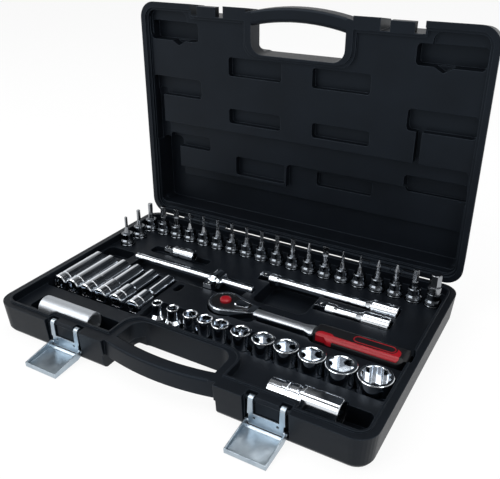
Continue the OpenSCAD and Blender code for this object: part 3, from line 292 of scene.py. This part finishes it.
def black_oxide_steel():
    """Steel blackened in a hot bath: almost black, with a dull metallic shine."""
    c, s = colours(), sizes()
    material, tree, shader, at = start("black_oxide_steel", {"Metallic": 0.7})
    # the bath leaves a grain finer than 0.1 mm, drawn coarser so that it shows
    grain = add(tree, "TexNoise", {"Vector": at, "Scale": 1 / (0.6 * MM), "Detail": 3})["Fac"]
    peaks = add(tree, "MapRange", {"Value": grain, **MIDDLE, "To Min": 0, "To Max": 1})["Result"]
    tint = add(tree, "Mix", {0: peaks, 6: c.oxide, 7: c.oxide_grain}, data_type="RGBA")[2]
    tree.links.new(tint, shader.inputs["Base Color"])
    dull = add(tree, "MapRange", {"Value": grain, **MIDDLE, "To Min": 0.28, "To Max": 0.42})["Result"]
    tree.links.new(dull, shader.inputs["Roughness"])
    edge = add(tree, "Bevel", {"Radius": s.metal_edge}, samples=4)["Normal"]
    relief = add(tree, "Bump", {"Height": grain, "Distance": 0.01 * MM, "Normal": edge})["Normal"]
    tree.links.new(relief, shader.inputs["Normal"])
    return material


def moulded(name, tint, second, rough, spacing, depth, edge_radius):
    """Injection-moulded plastic or elastomer: a soft shine broken by a spark-eroded grain."""
    material, tree, shader, at = start(name, {"IOR": 1.5, "Specular IOR Level": 0.3})
    # pigment and rubbing vary over about 14 mm
    clouds = add(tree, "TexNoise", {"Vector": at, "Scale": 1 / (14 * MM), "Detail": 2})["Fac"]
    share = add(tree, "MapRange", {"Value": clouds, **MIDDLE, "To Min": 0, "To Max": 1})["Result"]
    both = add(tree, "Mix", {0: share, 6: tint, 7: second}, data_type="RGBA")[2]
    tree.links.new(both, shader.inputs["Base Color"])
    # the mould's grain is about 0.1 mm, and its spacing is coarser so that it shows
    grain = add(
        tree, "TexNoise", {"Vector": at, "Scale": 1 / spacing, "Detail": 2, "Roughness": 0.6}
    )["Fac"]
    dull = add(
        tree, "MapRange", {"Value": grain, **MIDDLE, "To Min": rough - 0.05, "To Max": rough + 0.07}
    )["Result"]
    tree.links.new(dull, shader.inputs["Roughness"])
    edge = add(tree, "Bevel", {"Radius": edge_radius}, samples=4)["Normal"]
    relief = add(tree, "Bump", {"Height": grain, "Distance": depth, "Normal": edge})["Normal"]
    tree.links.new(relief, shader.inputs["Normal"])
    return material


def seamless_paper(glow):
    """Studio paper: mostly white to the lens and in mirrors, while its own shading keeps the shadow."""
    material, tree, shader, _ = start("seamless_paper", {"Roughness": 0.9, "Base Color": linear("#F2F2F2")})
    light = add(tree, "LightPath")
    seen = add(
        tree, "Math", {0: light["Is Camera Ray"], 1: light["Is Glossy Ray"]}, operation="MAXIMUM"
    )[0]
    share = add(tree, "Math", {0: seen, 1: glow}, operation="MULTIPLY")[0]
    white = add(tree, "Emission", {"Color": (1, 1, 1, 1), "Strength": 1.0})[0]
    blend = add(tree, "MixShader", {0: share, 1: shader.outputs[0], 2: white})[0]
    tree.links.new(blend, tree.nodes["Material Output"].inputs["Surface"])
    return material


# ---------- CAD nodes ----------


def named(prefix):
    """CAD nodes whose names start with a prefix."""
    return [node for node in NODES if node.startswith(prefix)]


def finish_nodes(names, material):
    """Puts one material on CAD nodes."""
    for name in names:
        slots = NODES[name].data.materials
        if not slots:
            slots.append(material)
        for i in range(len(slots)):
            slots[i] = material


def finish_of(node):
    """The material on a CAD node."""
    return NODES[node].data.materials[0]


def body_of(node):
    """The body that a CAD node rides on."""
    return next(body for body, nodes in BODIES.items() if node in nodes)


def pivot_of(joint):
    """A joint's place, in metres."""
    return next(j["pos_m"] for j in JOINTS if j["name"] == joint)


def solids_of(node):
    """Lowest and highest corner of each separate solid of a CAD node, in metres."""
    mesh = NODES[node].data
    parent = list(range(len(mesh.vertices)))

    def root(i):
        while parent[i] != i:
            parent[i] = parent[parent[i]]
            i = parent[i]
        return i

    # the node's triangles are loose, so vertices in one place are joined as well
    first_at = {}
    pairs = [tuple(edge.vertices) for edge in mesh.edges]
    for vertex in mesh.vertices:
        key = tuple(round(c, 6) for c in vertex.co)
        pairs.append((first_at.setdefault(key, vertex.index), vertex.index))
    for a, b in pairs:
        a, b = root(a), root(b)
        parent[max(a, b)] = min(a, b)
    groups = {}
    for vertex in mesh.vertices:
        groups.setdefault(root(vertex.index), []).append(vertex.co)
    return [
        [Vector([pick(p[k] for p in points) for k in range(3)]) for pick in (min, max)]
        for points in groups.values()
    ]


# ---------- new pieces ----------


def nothing_selected():
    """Object mode, with nothing selected."""
    if bpy.context.mode != "OBJECT":
        bpy.ops.object.mode_set(mode="OBJECT")
    bpy.ops.object.select_all(action="DESELECT")


def only_selected(piece):
    """Object mode, with one piece selected and active."""
    nothing_selected()
    piece.select_set(True)
    bpy.context.view_layer.objects.active = piece


def apply_place(piece):
    """Puts the piece's place, turn and scale into its mesh."""
    only_selected(piece)
    bpy.ops.object.transform_apply(location=True, rotation=True, scale=True)


def smooth(piece):
    """Shades a piece smooth, except at edges sharper than 35 degrees."""
    only_selected(piece)
    bpy.ops.object.shade_smooth_by_angle(angle=math.radians(35))


def copy_at(piece, place):
    """A copy of a piece, with its own mesh, at a place."""
    copy = piece.copy()
    copy.data = piece.data.copy()
    bpy.context.collection.objects.link(copy)
    copy.location = place
    return copy


def settle(piece, name, body, material):
    """Names the piece, finishes it and lets it ride on a body."""
    piece.name = name
    piece.data.materials.clear()
    piece.data.materials.append(material)
    apply_place(piece)
    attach(piece, body)


def curled_sheet(width, thickness, radius, centre, top):
    """Sheet across X, curled about centre (y, z): from straight below it, round its far side, up to top."""
    nothing_selected()
    y, z = centre
    bpy.ops.mesh.primitive_cylinder_add(
        vertices=64, radius=radius, depth=width, end_fill_type="NOTHING",
        location=(0, y, z), rotation=(0, math.pi / 2, 0),
    )
    piece = bpy.context.object
    apply_place(piece)
    bpy.ops.object.mode_set(mode="EDIT")
    bpy.ops.mesh.select_all(action="SELECT")
    bpy.ops.mesh.bisect(plane_co=(0, 0, top), plane_no=(0, 0, 1), clear_outer=True)
    bpy.ops.mesh.select_all(action="SELECT")
    bpy.ops.mesh.bisect(plane_co=(0, y, 0), plane_no=(0, -1, 0), clear_outer=True)
    bpy.ops.object.mode_set(mode="OBJECT")
    sheet = piece.modifiers.new("thickness", "SOLIDIFY")
    sheet.thickness = thickness
    sheet.offset = 0
    only_selected(piece)
    bpy.ops.object.modifier_apply(modifier=sheet.name)
    smooth(piece)
    return piece


def bar_of_sections(sections, sides=40):
    """A closed bar along X, from oval sections given as (x, y, z, half width, half height)."""
    nothing_selected()
    x, y, z, wide, high = sections[0]
    bpy.ops.mesh.primitive_circle_add(
        vertices=sides, radius=1, fill_type="NGON", location=(x, y, z), rotation=(0, math.pi / 2, 0)
    )
    piece = bpy.context.object
    apply_place(piece)
    bpy.ops.object.mode_set(mode="EDIT")
    bpy.ops.mesh.select_all(action="SELECT")
    bpy.ops.transform.resize(value=(1, wide, high), center_override=(x, y, z))
    for x1, y1, z1, wide1, high1 in sections[1:]:
        bpy.ops.mesh.extrude_region_move(TRANSFORM_OT_translate={"value": (x1 - x, y1 - y, z1 - z)})
        bpy.ops.transform.resize(value=(1, wide1 / wide, high1 / high), center_override=(x1, y1, z1))
        x, y, z, wide, high = x1, y1, z1, wide1, high1
    bpy.ops.mesh.select_all(action="SELECT")
    bpy.ops.mesh.normals_make_consistent(inside=False)
    bpy.ops.object.mode_set(mode="OBJECT")
    smooth(piece)
    return piece


def knurled_ring(radius, low, high, rows, teeth, depth):
    """A ring round Z at the origin, pressed into rows of small pyramids."""
    nothing_selected()
    bpy.ops.mesh.primitive_cylinder_add(
        vertices=teeth, radius=radius, depth=high - low, end_fill_type="NOTHING",
        location=(0, 0, (low + high) / 2),
    )
    piece = bpy.context.object
    apply_place(piece)
    bpy.ops.object.mode_set(mode="EDIT")
    for i in range(1, rows):
        bpy.ops.mesh.select_all(action="SELECT")
        bpy.ops.mesh.bisect(plane_co=(0, 0, low + (high - low) * i / rows), plane_no=(0, 0, 1))
    bpy.ops.mesh.select_all(action="SELECT")
    bpy.ops.mesh.poke(offset=depth)
    bpy.ops.object.mode_set(mode="OBJECT")
    return piece


# ---------- studio ----------

FLOOR_SIDE = 12  # metres
FLOOR_GLOW = 0.9  # share of the floor's colour that is plain white to the lens

AMBIENT = 0.45  # strength of the world's light on the object, where the lens sees a plain white of 1
# in mirrors the world dims with height, as under a dark ceiling
CEILING = {"From Min": 0.3, "From Max": 0.75, "To Min": 1.0, "To Max": 0.16}

# name, place and target in metres, size in metres, power in watts
LAMPS = [
    ("key", (-0.9, -1.0, 1.5), (0, 0, 0.05), 1.5, 26),
    ("fill", (1.3, -0.9, 0.9), (0, 0, 0.1), 1.0, 10),
    ("top", (0.1, 0.3, 1.9), (0, 0, 0.1), 1.2, 16),
]

CAMERA_PLACE = (0.2866, -0.46115, 0.363)  # metres
CAMERA_YAW = 29.96  # degrees
CAMERA_DOWN = 26.48  # degrees
CAMERA_LENS = 46.01  # millimetres
CAMERA_SENSOR = 36  # millimetres


def build_world(scene):
    """A white world to the lens, a soft grey one for light, and a dim ceiling in mirrors."""
    world = bpy.data.worlds.new("studio_world")
    scene.world = world
    world.use_nodes = True
    tree = world.node_tree
    back = tree.nodes["Background"]
    back.inputs["Color"].default_value = (1, 1, 1, 1)
    light = add(tree, "LightPath")
    seen = add(
        tree, "Math", {0: light["Is Camera Ray"], 1: light["Is Glossy Ray"]}, operation="MAXIMUM"
    )[0]
    seen = add(tree, "Math", {0: seen, 1: light["Is Transmission Ray"]}, operation="MAXIMUM")[0]
    plain = add(tree, "MapRange", {"Value": seen, "To Min": AMBIENT, "To Max": 1.0})["Result"]
    direction = add(tree, "TexCoord")["Generated"]
    height = add(tree, "SeparateXYZ", {"Vector": direction})["Z"]
    ceiling = add(tree, "MapRange", {"Value": height, **CEILING})["Result"]
    mirrored = add(tree, "Mix", {0: light["Is Glossy Ray"], 2: 1.0, 3: ceiling})[0]
    strength = add(tree, "Math", {0: plain, 1: mirrored}, operation="MULTIPLY")[0]
    tree.links.new(strength, back.inputs["Strength"])


def add_lamp(name, place, target, size, power):
    """A square softbox that faces its target."""
    bpy.ops.object.light_add(type="AREA", location=place)
    lamp = bpy.context.object
    lamp.name = "lamp_" + name
    lamp.data.shape = "SQUARE"
    lamp.data.size = size
    lamp.data.energy = power
    aim = Vector(target) - Vector(place)
    lamp.rotation_euler = aim.to_track_quat("-Z", "Y").to_euler()


def add_camera(scene):
    """The camera in front of the open case, to its right and above it."""
    turn = (math.radians(90 - CAMERA_DOWN), 0, math.radians(CAMERA_YAW))
    bpy.ops.object.camera_add(location=CAMERA_PLACE, rotation=turn)
    camera = bpy.context.object
    camera.data.lens = CAMERA_LENS
    camera.data.sensor_width = CAMERA_SENSOR
    camera.data.sensor_fit = "HORIZONTAL"
    camera.data.clip_start = 0.01
    scene.camera = camera


# ---------- operators ----------


class SOCKETSET_OT_case(bpy.types.Operator):
    """Finish both case halves and the hinge pins"""

    bl_idname = "socketset.case"
    bl_label = "Case"

    def execute(self, context):
        finish_nodes(["case_base", "case_lid"], blow_moulded_hdpe())
        finish_nodes(["hinge_pins"], ground_steel("drawn_pin_steel", colours().pin_steel, rough=0.3))
        return {"FINISHED"}


class SOCKETSET_OT_latches(bpy.types.Operator):
    """Finish the latch links and covers"""

    bl_idname = "socketset.latches"
    bl_label = "Latches"

    def execute(self, context):
        finish_nodes(named("latch_"), zinc_plated_sheet())
        return {"FINISHED"}


HEEL_CENTRE = (-5.2 * MM, -0.8 * MM)  # the curl's centre, in Y and Z from the cover's pivot
HEEL_TOP = -3.09 * MM  # where the curl ends, in Z from the cover's pivot
HEEL_GAP = 1.1 * MM  # from the outside of a cover's flange to the heel's end inside the flange
COVER_TILT = 3.5  # degrees that the open cover's far end hangs low


class SOCKETSET_OT_cover_heels(bpy.types.Operator):
    """Curl the heel that joins each latch cover's floor to its pivot"""

    bl_idname = "socketset.cover_heels"
    bl_label = "Cover heels"

    def execute(self, context):
        s = sizes()
        low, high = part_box("latch_cover_left")
        width = high[0] - low[0] - 2 * HEEL_GAP
        first = curled_sheet(width, s.heel_sheet, s.heel_curl, HEEL_CENTRE, HEEL_TOP)
        first.rotation_euler = (math.radians(COVER_TILT), 0, 0)
        apply_place(first)
        for side in ("left", "right"):
            low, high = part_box("latch_cover_" + side)
            _, y, z = pivot_of(f"latch_cover_{side}_flip")
            heel = copy_at(first, ((low[0] + high[0]) / 2, y, z))
            settle(heel, "cover_heel_" + side, "cover_" + side, finish_of("latch_cover_" + side))
        bpy.data.objects.remove(first)
        return {"FINISHED"}


class SOCKETSET_OT_ratchet(bpy.types.Operator):
    """Finish the ratchet and its mechanism"""

    bl_idname = "socketset.ratchet"
    bl_label = "Ratchet"

    def execute(self, context):
        c = colours()
        finish_nodes(["reversing_lever"], chrome_plate("lever_chrome_plate", c.chrome))
        finish_nodes(["ratchet_body"], chrome_plate("forged_chrome_plate", c.chrome, dulled=0.03))
        finish_nodes(["ratchet_cover_plate", "ratchet_screws"], black_oxide_steel())
        gear = ground_steel("gear_steel", c.tool_steel, rough=0.3)
        finish_nodes(["ratchet_gear", "ratchet_pawl", "pawl_spring"], gear)
        red = moulded(
            "red_polypropylene", c.red, c.red_deep,
            rough=0.3, spacing=0.8 * MM, depth=0.008 * MM, edge_radius=0.5 * MM,
        )
        finish_nodes(["ratchet_button", "grip_inlay"], red)
        grip = moulded(
            "black_elastomer", c.grip, c.grip_worn,
            rough=0.42, spacing=0.7 * MM, depth=0.02 * MM, edge_radius=0.8 * MM,
        )
        finish_nodes(["ratchet_grip"], grip)
        return {"FINISHED"}


# the crown's ovals from the ratchet's head to its grip, in millimetres: x, half width, half height
CROWN_SECTIONS = [
    (27.5, 2.2, 0.5), (29, 4.2, 1.4), (32, 5.2, 1.9), (60, 5.0, 1.9), (85, 4.8, 1.9),
    (88, 5.4, 2.0), (91.5, 6.8, 2.2), (95.3, 6.9, 2.2),
]


class SOCKETSET_OT_shank_crown(bpy.types.Operator):
    """Crown the forged shank between the ratchet's head and its grip"""

    bl_idname = "socketset.shank_crown"
    bl_label = "Shank crown"

    def execute(self, context):
        low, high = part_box("ratchet_body")
        middle = (low[1] + high[1]) / 2
        top = sizes().crown_top
        sections = [(x * MM, middle, top, wide * MM, tall * MM) for x, wide, tall in CROWN_SECTIONS]
        crown = bar_of_sections(sections)
        # forging flow shows as streaks 0.5 mm apart, drawn out along the shank
        finish = satin_chrome(
            "satin_forging", spacing=0.5 * MM, stretch=(0.3, 1.0, 1.0), rough=0.33, depth=0.02 * MM
        )
        settle(crown, "shank_crown", "ratchet", finish)
        return {"FINISHED"}


class SOCKETSET_OT_sockets(bpy.types.Operator):
    """Finish every socket, extension, the T-bar and the adapter"""

    bl_idname = "socketset.sockets"
    bl_label = "Sockets and bars"

    def execute(self, context):
        c = colours()
        bright = named("socket_") + named("deep_socket_") + named("tbar_") + named("extension_")
        finish_nodes(bright + ["plug_socket_21", "drive_adapter"], chrome_plate("chrome_plate", c.chrome))
        # turning leaves rings 0.7 mm apart round the plain plug socket, which lies along X
        turned = satin_chrome(
            "satin_chrome", spacing=0.7 * MM, stretch=(1.0, 0.05, 0.05), rough=0.46, depth=0.008 * MM
        )
        finish_nodes(["plug_socket_16"], turned)
        balls = [node for node in NODES if node.endswith("_ball")]
        finish_nodes(balls, ground_steel("ball_steel", c.pin_steel, rough=0.16))
        rubber = moulded(
            "moulded_rubber", c.rubber, c.rubber_dusty,
            rough=0.6, spacing=0.6 * MM, depth=0.02 * MM, edge_radius=0.4 * MM,
        )
        finish_nodes(named("plug_insert_"), rubber)
        return {"FINISHED"}


class SOCKETSET_OT_bits(bpy.types.Operator):
    """Finish the bits and their holders"""

    bl_idname = "socketset.bits"
    bl_label = "Bit sockets"

    def execute(self, context):
        c = colours()
        finish_nodes(named("holders_"), chrome_plate("holder_chrome_plate", c.dark_chrome))
        finish_nodes(named("bits_"), ground_steel("bit_steel", c.tool_steel, rough=0.16))
        return {"FINISHED"}


class SOCKETSET_OT_knurls(bpy.types.Operator):
    """Press a knurl round every bit holder"""

    bl_idname = "socketset.knurls"
    bl_label = "Knurls"

    def execute(self, context):
        s = sizes()
        holders = [(node, i, box) for node in named("holders_") for i, box in enumerate(solids_of(node))]
        low, high = holders[0][2]
        radius = (high.x - low.x) / 2 - s.knurl_inset
        first = knurled_ring(radius, s.knurl_low, s.knurl_high, s.knurl_rows, s.knurl_teeth, s.knurl_depth)
        for node, i, (low, high) in holders:
            ring = copy_at(first, ((low.x + high.x) / 2, (low.y + high.y) / 2, low.z))
            settle(ring, f"knurl_{node.removeprefix('holders_')}_{i}", body_of(node), finish_of(node))
        bpy.data.objects.remove(first)
        return {"FINISHED"}


class SOCKETSET_OT_stage(bpy.types.Operator):
    """Build the floor, the lamps, the world and the camera"""

    bl_idname = "socketset.stage"
    bl_label = "Studio"

    def execute(self, context):
        nothing_selected()
        bpy.ops.mesh.primitive_plane_add(size=FLOOR_SIDE, location=(0, 0, 0))
        floor = context.object
        floor.name = "studio_floor"
        floor.data.materials.append(seamless_paper(FLOOR_GLOW))
        build_world(context.scene)
        for lamp in LAMPS:
            add_lamp(*lamp)
        add_camera(context.scene)
        context.scene.view_settings.view_transform = "Standard"
        return {"FINISHED"}


# ---------- add-on ----------

OPERATORS = [
    SOCKETSET_OT_case,
    SOCKETSET_OT_latches,
    SOCKETSET_OT_cover_heels,
    SOCKETSET_OT_ratchet,
    SOCKETSET_OT_shank_crown,
    SOCKETSET_OT_sockets,
    SOCKETSET_OT_bits,
    SOCKETSET_OT_knurls,
    SOCKETSET_OT_stage,
]


class SOCKETSET_PT_panel(bpy.types.Panel):
    """Lists the steps in their order"""

    bl_idname = "SOCKETSET_PT_panel"
    bl_label = "Socket set"
    bl_space_type = "VIEW_3D"
    bl_region_type = "UI"
    bl_category = "Socket set"

    def draw(self, context):
        for operator in OPERATORS:
            self.layout.operator(operator.bl_idname)
        for group in (colours(), sizes()):
            for name in group.__annotations__:
                self.layout.prop(group, name)


CLASSES = [SocketSetColours, SocketSetSizes, *OPERATORS, SOCKETSET_PT_panel]


def register():
    for cls in CLASSES:
        bpy.utils.register_class(cls)
    bpy.types.Scene.socket_set_colours = PointerProperty(type=SocketSetColours)
    bpy.types.Scene.socket_set_sizes = PointerProperty(type=SocketSetSizes)


def unregister():
    del bpy.types.Scene.socket_set_sizes
    del bpy.types.Scene.socket_set_colours
    for cls in reversed(CLASSES):
        bpy.utils.unregister_class(cls)


def main():
    """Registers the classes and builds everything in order."""
    register()
    for operator in OPERATORS:
        group, name = operator.bl_idname.split(".")
        getattr(getattr(bpy.ops, group), name)()


if __name__ == "__main__":
    main()
